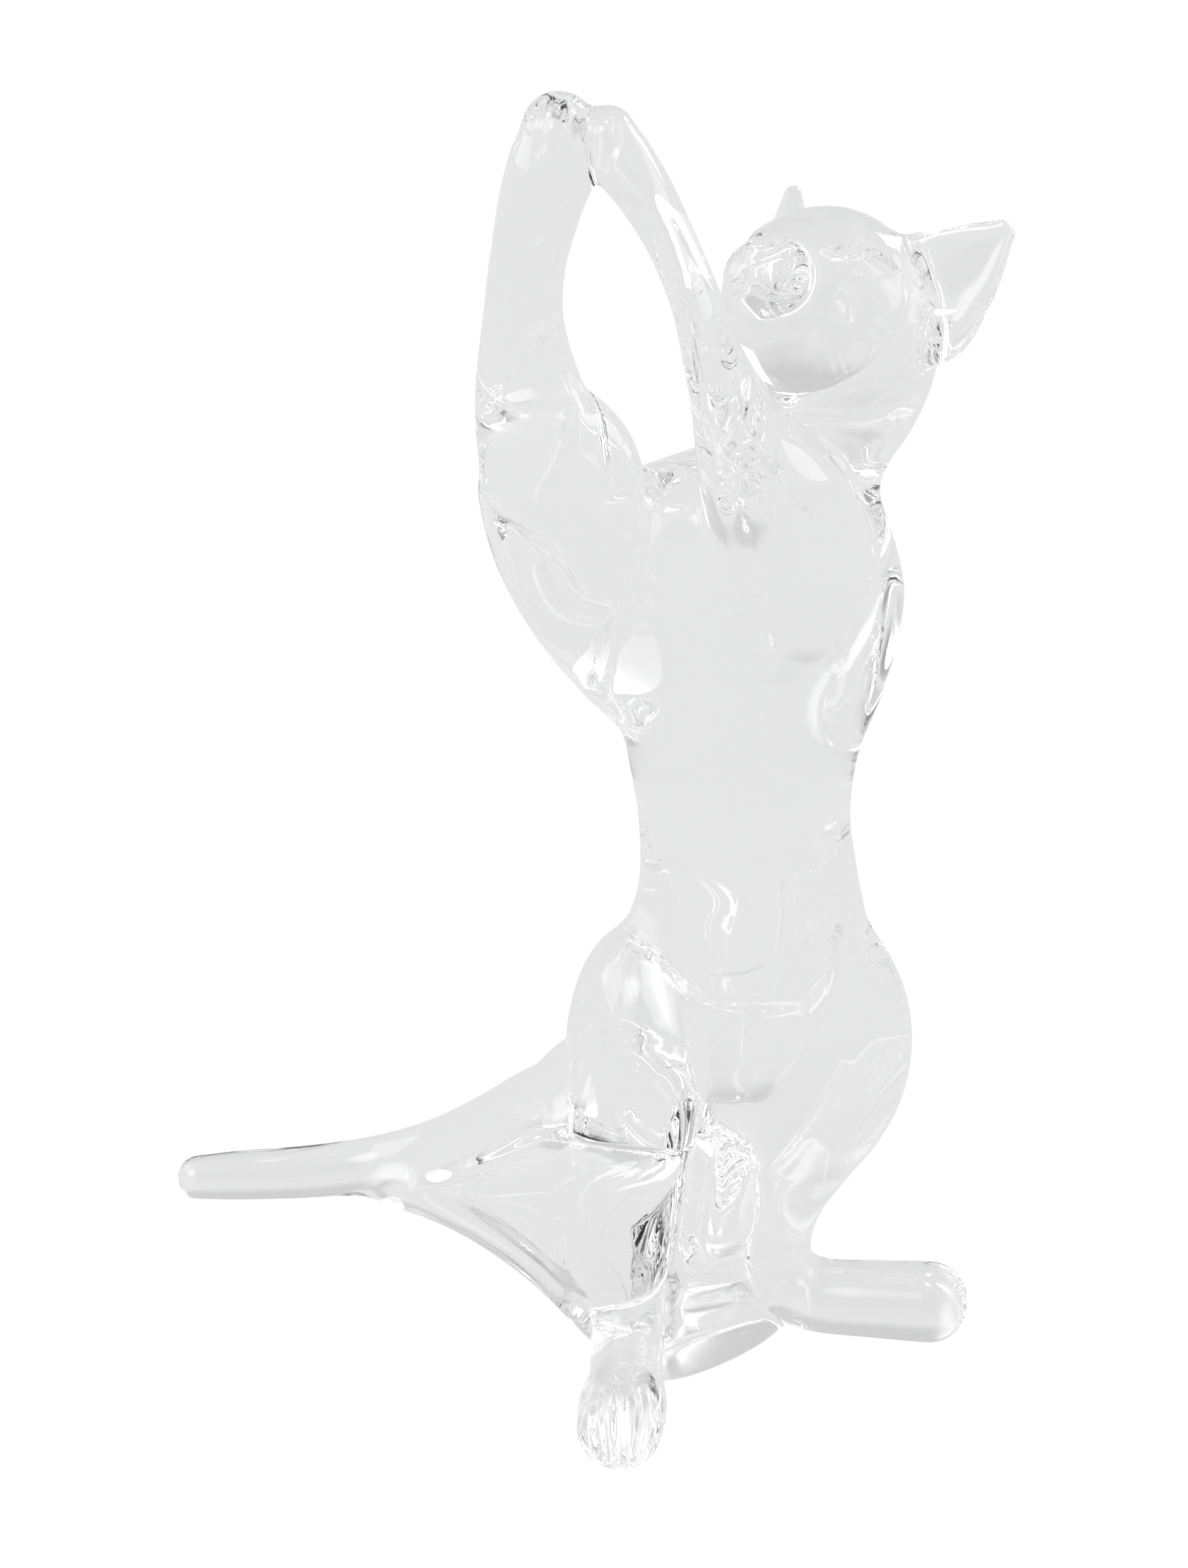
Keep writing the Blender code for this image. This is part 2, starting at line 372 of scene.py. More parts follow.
@dataclass(frozen=True)
class Crease:
    """A groove along a path on the surface. A depth below zero makes a ridge.

    Attributes:
        path: Points that it runs through.
        width: Its half width.
        depth: Its depth.
        fade: Stretch over which it rises to its full depth at either end, in spans of the path.
    """

    path: tuple[Triple, ...]
    width: float
    depth: float
    fade: float = 0.8

    def laid_on(self, form: "FusedForm") -> "Crease":
        """The same crease with its path drawn onto the form's surface."""
        guide = smooth_rows(np.array(self.path), SPAN_SAMPLES)
        return replace(self, path=as_triples(form.settle(guide, LAYING_ROUNDS)))

    def depth_at(self, points: np.ndarray) -> np.ndarray:
        """Works out how deep the glass is pressed.

        Args:
            points: Points, one a row.

        Returns:
            The depth at each point.
        """
        guide = np.array(self.path)
        reach = 3 * self.width
        low = guide.min(axis=0) - reach
        high = guide.max(axis=0) + reach
        near = np.all((points > low) & (points < high), axis=1)
        result = np.zeros(len(points))
        if near.any():
            distance, place = nearest_on_path(points[near], guide)
            from_end = np.minimum(place, len(guide) - 1 - place) / SPAN_SAMPLES
            fade = smooth_step(from_end, -0.4, self.fade)
            result[near] = self.depth * fade * np.exp(-((distance / self.width) ** 2))
        return result


@dataclass(frozen=True)
class Swelling:
    """A soft round swelling. A height below zero makes a dimple."""

    centre: Triple
    radius: float
    height: float

    def laid_on(self, form: "FusedForm") -> "Swelling":
        """The same swelling with its centre drawn onto the form's surface."""
        return replace(self, centre=form.nearest(self.centre))

    def depth_at(self, points: np.ndarray) -> np.ndarray:
        """How deep the glass is pressed at each point, below zero as it swells."""
        squares = ((points - np.array(self.centre)) ** 2).sum(axis=1)
        return -self.height * np.exp(-squares / self.radius**2)


@dataclass(frozen=True)
class Almond:
    """An almond-shaped recess with a lens in it, for an eye.

    Attributes:
        centre: Its middle, on the surface.
        along: Direction of its length.
        outward: Direction out of the surface.
        half_length: Half its length.
        half_height: Half its height.
        depth: Depth of the recess.
        lens: Half length and half height of the lens.
        lens_rise: Height of the lens over the depth of the recess.
    """

    centre: Triple
    along: Triple
    outward: Triple
    half_length: float
    half_height: float
    depth: float
    lens: tuple[float, float] = (2.4, 1.3)
    lens_rise: float = 0.75

    def laid_on(self, form: "FusedForm") -> "Almond":
        """The same almond with its centre drawn onto the form's surface."""
        return replace(self, centre=form.nearest(self.centre))

    def depth_at(self, points: np.ndarray) -> np.ndarray:
        """Works out how deep the glass is pressed.

        Args:
            points: Points, one a row.

        Returns:
            The depth at each point.
        """
        offset = points - np.array(self.centre)
        outward = unit(np.array(self.outward))
        along = unit(np.array(self.along) - outward * np.dot(self.along, outward))
        height_axis = np.cross(outward, along)
        across = offset @ along
        high = offset @ height_axis
        proud = offset @ outward
        radius = (self.half_length**2 + self.half_height**2) / (2 * self.half_height)
        drop = radius - self.half_height
        outside = np.maximum(np.hypot(across, high + drop), np.hypot(across, high - drop)) - radius
        inside = 1 - smooth_step(outside, -0.70, 0.15)
        lens = np.exp(-((across / self.lens[0]) ** 2) - (high / self.lens[1]) ** 2)
        front = smooth_step(proud, -self.half_length, -self.half_length * 0.5)
        return front * (self.depth * inside - self.lens_rise * self.depth * lens)


@dataclass(frozen=True)
class Dish:
    """An oval hollow on one side of a thin form, for the inside of an ear.

    Attributes:
        centre: Its middle, on the surface.
        along: Direction of its longer radius.
        outward: Direction out of the surface.
        radii: Its longer and its shorter radius.
        depth: Depth at its middle. Below zero it's a swelling.
    """

    centre: Triple
    along: Triple
    outward: Triple
    radii: tuple[float, float]
    depth: float

    def laid_on(self, form: "FusedForm") -> "Dish":
        """The same dish with its centre drawn onto the form's surface."""
        return replace(self, centre=form.nearest(self.centre))

    def depth_at(self, points: np.ndarray) -> np.ndarray:
        """Works out how deep the glass is pressed.

        Args:
            points: Points, one a row.

        Returns:
            The depth at each point.
        """
        offset = points - np.array(self.centre)
        outward = unit(np.array(self.outward))
        along = unit(np.array(self.along) - outward * np.dot(self.along, outward))
        side = np.cross(outward, along)
        inside = 1 - np.hypot(offset @ along / self.radii[0], offset @ side / self.radii[1])
        front = smooth_step(offset @ outward, -2.2, -0.6)
        return self.depth * smooth_step(inside, 0.0, 0.75) * front


@dataclass(frozen=True)
class Undercut:
    """A front that falls back below an upper edge and stands out again at a lower edge.

    Attributes:
        upper: Points of the upper edge, as place across and height.
        lower: Points of the lower edge, as place across and height.
        depth: How far it falls back.
        behind: Where the undercut ends towards the back.
        side_fades: Stretch over which it rises at its first and at its last end.
        back_fade: Stretch over which it ends towards the back.
        full_room: Height from edge to edge from which it has its full depth.
    """

    upper: tuple[tuple[float, float], ...]
    lower: tuple[tuple[float, float], ...]
    depth: float
    behind: float
    side_fades: tuple[float, float] = (8.0, 6.0)
    back_fade: float = 4.0
    full_room: float = 7.0

    def laid_on(self, form: "FusedForm") -> "Undercut":
        """The same undercut, which needs no place on the surface."""
        return self

    def depth_at(self, points: np.ndarray) -> np.ndarray:
        """Works out how deep the glass is pressed.

        Args:
            points: Points, one a row.

        Returns:
            The depth at each point.
        """
        across, backward, height = points.T
        top = np.interp(across, *np.array(self.upper).T)
        bottom = np.interp(across, *np.array(self.lower).T)
        fall = (top - height) / np.maximum(top - bottom, 1.0)
        ends = np.array([self.upper[0][0], self.upper[-1][0]])
        side = smooth_step(across, ends[0], ends[0] + self.side_fades[0])
        side = side * (1 - smooth_step(across, ends[1] - self.side_fades[1], ends[1]))
        front = 1 - smooth_step(backward, self.behind - self.back_fade, self.behind)
        ledge = 1 - smooth_step(fall, 0.78, 1.18)
        slant = smooth_step(fall, -0.10, 0.22) * np.clip(0.45 + 0.75 * fall, 0.0, 1.0)
        room = np.clip((top - bottom) / self.full_room, 0.0, 1.0) ** 2
        return self.depth * side * front * ledge * slant * room


Mark = Crease | Swelling | Almond | Dish | Undercut


# ---------------------------------------------------------------------------------------------
# The skin as a distance, and drawing a mesh onto it
# ---------------------------------------------------------------------------------------------


@dataclass
class FusedForm:
    """All limbs fused, with the marks pressed in and the soles ground flat.

    Attributes:
        limbs: The limbs, in the order in which they are fused.
        marks: What is pressed in or raised.
        sole_round: Size of the rounding at the edge of the soles.
    """

    limbs: list[Limb]
    marks: list[Mark]
    sole_round: float = 0.9

    def distance(self, points: np.ndarray) -> np.ndarray:
        """Measures how far points are from the finished surface.

        Args:
            points: Points, one a row.

        Returns:
            The distance at each point, below zero inside the glass.
        """
        total = self.limbs[0].distance(points)
        for limb in self.limbs[1:]:
            total = soft_minimum(total, limb.distance(points), limb.fillet)
        for mark in self.marks:
            total = total + mark.depth_at(points)
        return soft_maximum(total, -points[:, 2], self.sole_round)

    def nearest(self, point: Triple) -> Triple:
        """The place on the surface next to a point."""
        return as_triples(self.settle(np.array([point]), LAYING_ROUNDS))[0]

    def slope(self, points: np.ndarray, here: np.ndarray) -> np.ndarray:
        """Works out the distance's gradient.

        Args:
            points: Points, one a row.
            here: The distance at each point.

        Returns:
            The gradient, one row for each point.
        """
        step = 0.02
        columns = []
        for axis in range(3):
            moved = points.copy()
            moved[:, axis] += step
            columns.append((self.distance(moved) - here) / step)
        return np.column_stack(columns)

    def settle(self, points: np.ndarray, rounds: int) -> np.ndarray:
        """Moves points onto the surface along the gradient.

        Args:
            points: Points near the surface.
            rounds: Newton steps.

        Returns:
            The moved points.
        """
        settled = points.copy()
        longest = 1.2
        flattest = 0.15
        for _ in range(rounds):
            here = self.distance(settled)
            slope = self.slope(settled, here)
            steepness = np.maximum((slope**2).sum(axis=1), flattest)
            move = -(here / steepness)[:, None] * slope
            length = np.linalg.norm(move, axis=1, keepdims=True)
            settled += move * np.minimum(1.0, longest / np.maximum(length, TINY))
        return settled


def relaxed(points: np.ndarray, edges: np.ndarray, amount: float) -> np.ndarray:
    """Moves each point part of the way to the middle of its neighbours, which evens a mesh.

    Args:
        points: The mesh's points, one a row.
        edges: Pairs of point numbers.
        amount: How much of the way they move.

    Returns:
        The moved points.
    """
    sums = np.zeros_like(points)
    counts = np.zeros(len(points))
    for near, far in ((0, 1), (1, 0)):
        np.add.at(sums, edges[:, near], points[edges[:, far]])
        np.add.at(counts, edges[:, near], 1)
    middle = sums / np.maximum(counts, 1)[:, None]
    return points + amount * (middle - points)


def drop_bubbles(shape: bmesh.types.BMesh) -> None:
    """Deletes every shell but the largest.

    Args:
        shape: The mesh to clean.
    """
    unseen = set(shape.verts)
    shells = []
    while unseen:
        shell = [unseen.pop()]
        for vert in shell:
            for edge in vert.link_edges:
                other = edge.other_vert(vert)
                if other in unseen:
                    unseen.remove(other)
                    shell.append(other)
        shells.append(shell)
    shells.sort(key=len)
    for shell in shells[:-1]:
        bmesh.ops.delete(shape, geom=shell, context="VERTS")


def deselect_all() -> None:
    """Leaves nothing selected and nothing active."""
    for chosen in list(bpy.context.selected_objects):
        chosen.select_set(False)
    bpy.context.view_layer.objects.active = None


def read_points(mesh: bpy.types.Mesh) -> np.ndarray:
    """Reads a mesh's vertices, one a row.

    Args:
        mesh: The mesh.

    Returns:
        The vertices, one a row.
    """
    flat = np.empty(len(mesh.vertices) * 3)
    mesh.vertices.foreach_get("co", flat)
    return flat.reshape(-1, 3)


def read_edges(mesh: bpy.types.Mesh) -> np.ndarray:
    """Reads a mesh's edges as pairs of vertex numbers.

    Args:
        mesh: The mesh.

    Returns:
        The edges, one pair a row.
    """
    flat = np.empty(len(mesh.edges) * 2, dtype=np.int32)
    mesh.edges.foreach_get("vertices", flat)
    return flat.reshape(-1, 2)


# ---------------------------------------------------------------------------------------------
# The cat
# ---------------------------------------------------------------------------------------------

ACROSS: Triple = (1.0, 0.0, 0.0)
BACKWARD: Triple = (0.0, 1.0, 0.0)
FOOT_TO_FOOT: Triple = (0.67, 0.74, 0.0)


@dataclass
class Head:
    """The tilted head with its ears, eyes, nose and mouth.

    Attributes:
        centre: Middle of the skull.
        radius: Radius of the skull.
        forward: Where the face points.
        leftward: Roughly where the cat's left ear lies.
        right_ear_pose: How far out and how far up the right ear reaches next to the left one.
    """

    centre: Triple = (16.4, 2.2, 160.6)
    radius: float = 14.4
    forward: Triple = (-0.50, -0.564, 0.658)
    leftward: Triple = (0.79, -0.609, 0.079)
    right_ear_pose: tuple[float, float] = (0.90, 1.13)

    def __post_init__(self) -> None:
        """Squares up the head's own axes."""
        self.face = unit(np.array(self.forward))
        self.crown = unit(np.cross(self.face, np.array(self.leftward)))
        self.left = np.cross(self.crown, self.face)

    def along(self, forward: float, left: float, up: float) -> np.ndarray:
        """A direction or a move along the head's axes, in head radii."""
        return self.radius * (forward * self.face + left * self.left + up * self.crown)

    def at(self, forward: float, left: float, up: float) -> Triple:
        """A place in the head, given along its axes in head radii."""
        return tuple(np.array(self.centre) + self.along(forward, left, up))

    def skull(self) -> Limb:
        """The ball of the head."""
        profile = (
            # forward, up, half width, half height, in head radii
            (-0.80, 0.00, 0.56, 0.54),
            (-0.50, 0.02, 0.90, 0.86),
            (-0.10, 0.02, 1.05, 0.99),
            (0.15, 0.01, 1.03, 0.965),
        )
        return Limb("head", self.stations_of(profile), tuple(self.left), 5.0, end_round=0.80)

    def muzzle(self) -> Limb:
        """The short muzzle, which slopes out of the ball."""
        profile = (
            (0.30, -0.03, 0.66, 0.64),
            (0.66, -0.09, 0.60, 0.56),
            (0.90, -0.15, 0.50, 0.46),
            (1.06, -0.19, 0.41, 0.37),
        )
        return Limb("muzzle", self.stations_of(profile), tuple(self.left), 7.0)

    def stations_of(self, profile: tuple[tuple[float, float, float, float], ...]) -> tuple:
        """Makes stations on the head's middle plane.

        Args:
            profile: Rows of forward, up, half width and half height, in head radii.

        Returns:
            The stations.
        """
        return tuple(
            Station(self.at(forward, 0, up), wide * self.radius, high * self.radius)
            for forward, up, wide, high in profile
        )

    def ear(self, side: int) -> Limb:
        """One ear.

        Args:
            side: 1 for the cat's left ear and -1 for its right ear.

        Returns:
            The ear as a limb.
        """
        profile = (
            # forward, out to the side, up, half width, half thickness, in head radii
            (-0.08, 0.55, 0.05, 0.58, 0.27),
            (-0.14, 0.88, 0.30, 0.69, 0.25),
            (-0.24, 1.12, 0.68, 0.50, 0.19),
            (-0.33, 1.29, 1.04, 0.28, 0.13),
            (-0.38, 1.39, 1.24, 0.13, 0.09),
        )
        spread, lift = (1.0, 1.0) if side > 0 else self.right_ear_pose
        sections = tuple(
            Station(
                self.at(forward, side * out * spread, up * lift),
                wide * self.radius,
                thick * self.radius,
            )
            for forward, out, up, wide, thick in profile
        )
        return Limb("ear", sections, self.ear_spread(side), 2.2)

    def ear_spread(self, side: int) -> Triple:
        """Direction that an ear's base runs in, from the crown back and down."""
        return tuple(unit(self.along(-0.5, side * 0.35, -0.8)))

    def ear_dish(self, side: int) -> Dish:
        """The hollow on the front of an ear.

        Args:
            side: 1 for the cat's left ear and -1 for its right ear.

        Returns:
            The hollow.
        """
        axis = self.along(-0.2, side * 0.5, 0.9)
        outward = np.cross(axis, np.array(self.ear_spread(side)))
        if outward @ self.face < 0:
            outward = -outward
        outward = unit(outward)
        middle = np.array(self.at(-0.22, side * 1.08, 0.60)) + 3.0 * outward
        return Dish(tuple(middle), tuple(axis), tuple(outward), (9.4, 6.2), 2.3)

    def eye(self, side: int) -> Almond:
        """One slanting eye.

        Args:
            side: 1 for the cat's left eye and -1 for its right eye.

        Returns:
            The recess with its lens.
        """
        centre = self.at(0.67, side * 0.68, 0.22)
        outward = unit(self.along(0.67, side * 0.68, 0.22))
        along = self.along(-0.83, side * 0.51, 0.22)
        return Almond(centre, tuple(along), tuple(outward), 6.0, 2.5, 1.6)

    def face_marks(self) -> list[Mark]:
        """Nose, mouth, whisker pads and the fold at each ear."""
        marks: list[Mark] = [
            Crease((self.at(1.40, 0, -0.30), self.at(1.36, 0, -0.50)), 0.7, 0.8),
            Crease((self.at(1.42, 0, -0.08), self.at(1.42, 0, -0.16)), 1.6, -0.7),
            Crease((self.at(1.0, 0, 0.42), self.at(0.62, 0, 0.66)), 2.6, 0.5),
        ]
        for side in (1, -1):
            mouth = (
                self.at(1.38, side * 0.02, -0.48),
                self.at(1.28, side * 0.22, -0.52),
                self.at(1.08, side * 0.42, -0.44),
            )
            nostril = (
                self.at(1.42, side * 0.05, -0.24),
                self.at(1.34, side * 0.17, -0.14),
                self.at(1.26, side * 0.24, -0.02),
            )
            ear_fold = (
                self.at(0.22, side * 0.72, 0.78),
                self.at(0.20, side * 0.96, 0.46),
                self.at(0.05, side * 1.06, 0.06),
            )
            marks.append(Crease(mouth, 0.7, 0.9))
            marks.append(Crease(nostril, 0.6, 0.7))
            marks.append(Crease(ear_fold, 1.1, 1.0))
            marks.append(Swelling(self.at(1.20, side * 0.26, -0.34), 3.6, 0.7))
        return marks

    def limbs(self) -> list[Limb]:
        """The skull, the muzzle and both ears."""
        return [self.skull(), self.muzzle(), self.ear(1), self.ear(-1)]

    def marks(self) -> list[Mark]:
        """Everything pressed into the head."""
        paired = [self.eye(side) for side in (1, -1)] + [self.ear_dish(side) for side in (1, -1)]
        return paired + self.face_marks()


@dataclass
class Body:
    """Torso, legs and tail, with the webs of glass that tie them together.

    Attributes:
        toe_depth: Depth of the grooves between the toes.
        toe_width: Half width of those grooves.
    """

    toe_depth: float = 0.8
    toe_width: float = 0.8

    def torso(self) -> Limb:
        """Neck, chest, belly and rump."""
        sections = stations(
            ((22.0, 3.5, 153.0), 10.2, 10.5),
            ((20.4, 4.0, 147.5), 10.4, 11.2),
            ((17.6, 3.8, 142.8), 11.0, 12.0),
            ((11.4, 2.5, 138.8), 14.4, 12.6),
            ((4.6, 0.6, 134.6), 19.6, 13.8),
            ((4.8, 0.4, 129.0), 21.0, 15.0),
            ((7.5, 1.5, 120.5), 20.4, 16.2),
            ((7.5, 1.5, 113.0), 19.9, 16.4),
            ((6.8, 1.0, 104.5), 18.4, 16.2),
            ((5.0, 1.0, 95.0), 16.8, 15.6),
            ((5.2, 1.5, 85.0), 15.5, 14.8),
            ((6.0, 2.5, 75.0), 16.0, 15.0),
            ((6.0, 4.0, 65.0), 17.6, 16.5),
            ((5.0, 5.5, 54.0), 17.4, 17.0),
            ((4.0, 7.0, 44.5), 13.0, 14.5),
            ((3.0, 8.0, 40.5), 8.0, 10.0),
        )
        return Limb("torso", sections, ACROSS, 1.0, SectionPlane.LEVEL)

    def hind_legs(self) -> list[Limb]:
        """The right hind leg, whose foot points forwards, and the left, whose foot points out."""
        right = stations(
            ((-5.0, 3.0, 65.0), 6.0, 9.5),
            ((-8.0, 2.0, 59.0), 9.8, 13.6),
            ((-9.8, 1.0, 51.5), 10.8, 14.8),
            ((-10.6, -1.5, 44.0), 10.2, 13.8),
            ((-11.2, -4.5, 36.0), 9.3, 11.8),
            ((-11.6, -8.0, 27.0), 7.8, 9.4),
            ((-11.9, -11.0, 18.0), 6.2, 7.4),
            ((-11.9, -13.2, 10.6), 5.4, 6.8),
            ((-11.9, -18.5, 6.2), 5.3, 6.4),
            ((-12.0, -26.0, 5.6), 5.6, 6.4),
            ((-12.5, -33.0, 5.8), 6.4, 6.8),
            ((-13.0, -39.0, 5.6), 6.2, 6.4),
        )
        left = stations(
            ((12.0, 6.0, 65.0), 9.5, 6.5),
            ((15.5, 6.0, 59.5), 13.6, 10.4),
            ((17.2, 6.0, 52.0), 14.8, 12.8),
            ((16.9, 6.0, 44.5), 14.8, 13.4),
            ((14.8, 6.5, 37.0), 13.2, 12.6),
            ((12.6, 7.5, 29.5), 11.0, 10.2),
            ((10.8, 8.5, 21.5), 8.8, 7.5),
            ((10.2, 8.6, 14.0), 7.0, 5.9),
            ((11.2, 8.4, 8.0), 6.3, 5.8),
            ((17.0, 6.8, 5.4), 5.7, 5.7),
            ((25.5, 5.0, 5.4), 6.0, 5.9),
            ((33.5, 3.6, 5.6), 6.4, 6.2),
        )
        return [
            Limb("hind_leg_right", right, ACROSS, 3.0),
            Limb("hind_leg_left", left, BACKWARD, 3.0),
        ]

    def forelegs(self) -> list[Limb]:
        """Both raised forelegs, which are fused at the paws."""
        right = stations(
            ((-21.5, -22.5, 193.0), 5.2, 6.0),
            ((-22.2, -22.0, 188.5), 6.1, 7.0),
            ((-24.0, -21.0, 182.5), 5.8, 7.5),
            ((-25.8, -20.0, 174.0), 5.3, 8.0),
            ((-26.5, -19.0, 165.5), 5.6, 8.6),
            ((-26.1, -17.0, 156.5), 7.1, 9.5),
            ((-24.8, -15.0, 149.0), 8.7, 10.8),
            ((-21.8, -12.0, 141.0), 11.6, 12.0),
            ((-20.0, -9.0, 131.0), 11.4, 12.8),
            ((-16.0, -5.5, 120.5), 10.5, 12.8),
            ((-10.5, -2.5, 111.0), 9.0, 12.5),
            ((-3.5, 0.0, 103.5), 6.6, 10.5),
        )
        left = stations(
            ((-14.8, -22.5, 192.6), 3.8, 6.0),
            ((-13.2, -23.2, 189.4), 4.4, 6.6),
            ((-9.8, -24.2, 184.6), 4.0, 7.2),
            ((-6.4, -25.0, 178.5), 3.5, 7.6),
            ((-3.0, -25.5, 170.5), 3.5, 8.0),
            ((-0.9, -25.0, 163.0), 3.9, 8.5),
            ((1.6, -23.0, 155.2), 5.1, 9.0),
            ((4.0, -20.0, 148.0), 6.9, 9.6),
            ((7.2, -16.0, 140.8), 9.4, 10.4),
            ((10.2, -12.0, 133.6), 10.9, 11.0),
            ((12.0, -9.5, 126.0), 11.0, 10.8),
            ((11.4, -9.5, 119.0), 8.6, 9.4),
            ((9.6, -9.8, 114.2), 5.0, 6.5),
        )
        return [
            Limb("foreleg_right", right, ACROSS, 7.0),
            Limb("foreleg_left", left, ACROSS, 1.8),
        ]

    def tail(self) -> list[Limb]:
        """The tail, the thin web under it and the bead along the web's foot."""
        tail = stations(
            ((3.0, 12.0, 45.0), 7.5, 8.0),
            ((-5.0, 14.5, 41.5), 7.2, 7.5),
            ((-12.0, 18.0, 37.5), 6.6, 6.8),
            ((-18.5, 24.5, 32.0), 6.0, 6.0),
            ((-25.5, 34.5, 25.0), 5.4, 5.5),
            ((-33.0, 43.5, 17.2), 4.9, 5.0),
            ((-41.0, 50.8, 10.6), 4.5, 4.6),
            ((-50.5, 55.0, 6.2), 4.2, 4.3),
            ((-61.5, 55.6, 4.3), 4.0, 4.2),
            ((-72.0, 55.2, 3.8), 3.9, 4.0),
            ((-79.3, 55.0, 3.5), 3.4, 3.5),
        )
        web = stations(
            ((-9.0, -2.0, 15.0), 3.2, 16.0),
            ((-14.5, 3.5, 16.3), 3.0, 17.2),
            ((-18.5, 11.5, 16.6), 2.8, 17.3),
            ((-22.5, 20.5, 14.0), 2.6, 14.8),
            ((-27.0, 29.0, 11.0), 2.5, 11.8),
            ((-32.5, 37.5, 7.6), 2.5, 8.4),
            ((-38.5, 45.0, 4.8), 2.5, 5.5),
            ((-45.5, 51.0, 3.0), 2.5, 3.4),
        )
        bead = stations(
            ((-11.0, -5.0, 2.6), 3.3, 3.4),
            ((-15.5, 3.0, 2.5), 3.2, 3.3),
            ((-19.0, 11.8, 2.4), 3.1, 3.1),
            ((-22.8, 20.8, 2.3), 3.0, 3.0),
            ((-27.2, 29.2, 2.2), 2.9, 2.9),
            ((-32.6, 37.6, 2.2), 2.8, 2.8),
            ((-38.6, 45.0, 2.2), 2.7, 2.8),
            ((-45.0, 50.6, 2.4), 2.6, 2.7),
            ((-52.0, 54.4, 2.8), 2.2, 2.4),
            ((-60.0, 55.5, 3.4), 1.8, 2.0),
        )
        return [
            Limb("tail", tail, BACKWARD, 9.0),
            Limb("tail_web", web, ACROSS, 5.0),
            Limb("tail_bead", bead, ACROSS, 1.6),
        ]

    def inner_calf(self) -> Limb:
        """The inner side of the left calf, which fills the space up to the cleft."""
        calf = stations(
            ((6.5, 4.5, 47.0), 6.0, 9.5),
            ((5.6, 3.8, 40.0), 5.6, 8.6),
            ((4.8, 3.2, 32.0), 5.2, 7.4),
            ((3.6, 2.4, 25.0), 4.8, 6.6),
            ((2.2, 1.2, 19.5), 4.5, 6.0),
        )
        return Limb("inner_calf", calf, ACROSS, 2.0)

    def haunch(self) -> Limb:
        """The back of the right thigh, which runs smoothly down into the root of the tail."""
        root = stations(
            ((-2.0, 7.0, 60.0), 7.0, 8.0),
            ((-5.0, 10.0, 52.0), 7.6, 9.0),
            ((-8.0, 13.5, 45.0), 7.6, 9.0),
            ((-11.5, 18.0, 38.5), 6.4, 7.8),
            ((-16.0, 23.5, 33.0), 5.2, 5.8),
        )
        return Limb("haunch", root, ACROSS, 6.0)

    def leg_web(self) -> Limb:
        """The glass between the hind legs, which spreads into a foot between the feet."""
        sections = stations(
            ((0.4, -1.0, -1.0), 17.0, 6.0),
            ((0.4, -0.6, 3.0), 16.5, 5.4),
            ((0.4, 0.2, 8.0), 14.5, 4.4),
            ((0.6, 1.5, 15.0), 12.0, 3.8),
            ((1.0, 3.0, 24.0), 10.0, 3.8),
            ((1.8, 4.5, 33.0), 8.5, 4.4),
            ((2.4, 5.5, 41.0), 7.5, 5.2),
        )
        return Limb("leg_web", sections, FOOT_TO_FOOT, 1.6, SectionPlane.LEVEL)

    def limbs(self) -> list[Limb]:
        """All limbs of the body but the torso, in the order in which they are fused."""
        return [
            *self.forelegs(), *self.hind_legs(), self.inner_calf(), self.haunch(), *self.tail(),
            self.leg_web(),
        ]

    def toe_creases(self) -> list[Crease]:
        """Creases between the toes of both hind feet and between those of the fused paws."""
        creases = []
        for side in (-3.2, 0.0, 3.2):
            front = ((-13.1 + side, -38.5, 11.6), (-13.1 + side, -43.0, 8.6),
                     (-13.1 + side, -45.2, 4.5), (-13.1 + side, -44.6, 1.5))
            creases.append(Crease(front, self.toe_width, self.toe_depth))
            out = ((33.5, 3.5 + side, 11.6), (38.0, 3.4 + side, 8.8),
                   (40.2, 3.3 + side, 4.5), (39.6, 3.3 + side, 1.5))
            creases.append(Crease(out, self.toe_width, self.toe_depth))
        for across in (-24.0, -20.4, -14.0):
            paw = ((across, -27.6, 190.0), (across + 0.2, -27.4, 194.0),
                   (across + 0.6, -25.0, 198.0))
            creases.append(Crease(paw, self.toe_width, 0.8 * self.toe_depth))
        return creases

    def belly_undercut(self) -> Undercut:
        """The overhang of the belly above the thighs."""
        upper = ((-10.0, 71.5), (-7.1, 68.6), (-2.9, 66.8), (0.5, 65.0), (5.2, 65.6), (9.2, 67.4),
                 (12.0, 69.0), (15.0, 70.6), (18.4, 74.8), (20.5, 78.5))
        lower = ((-10.5, 68.4), (-6.5, 64.3), (-2.9, 61.0), (1.0, 59.5), (7.9, 58.7), (14.6, 58.6),
                 (17.2, 61.0), (19.9, 65.5), (21.0, 75.0))
        return Undercut(upper, lower, 3.0, 4.0)

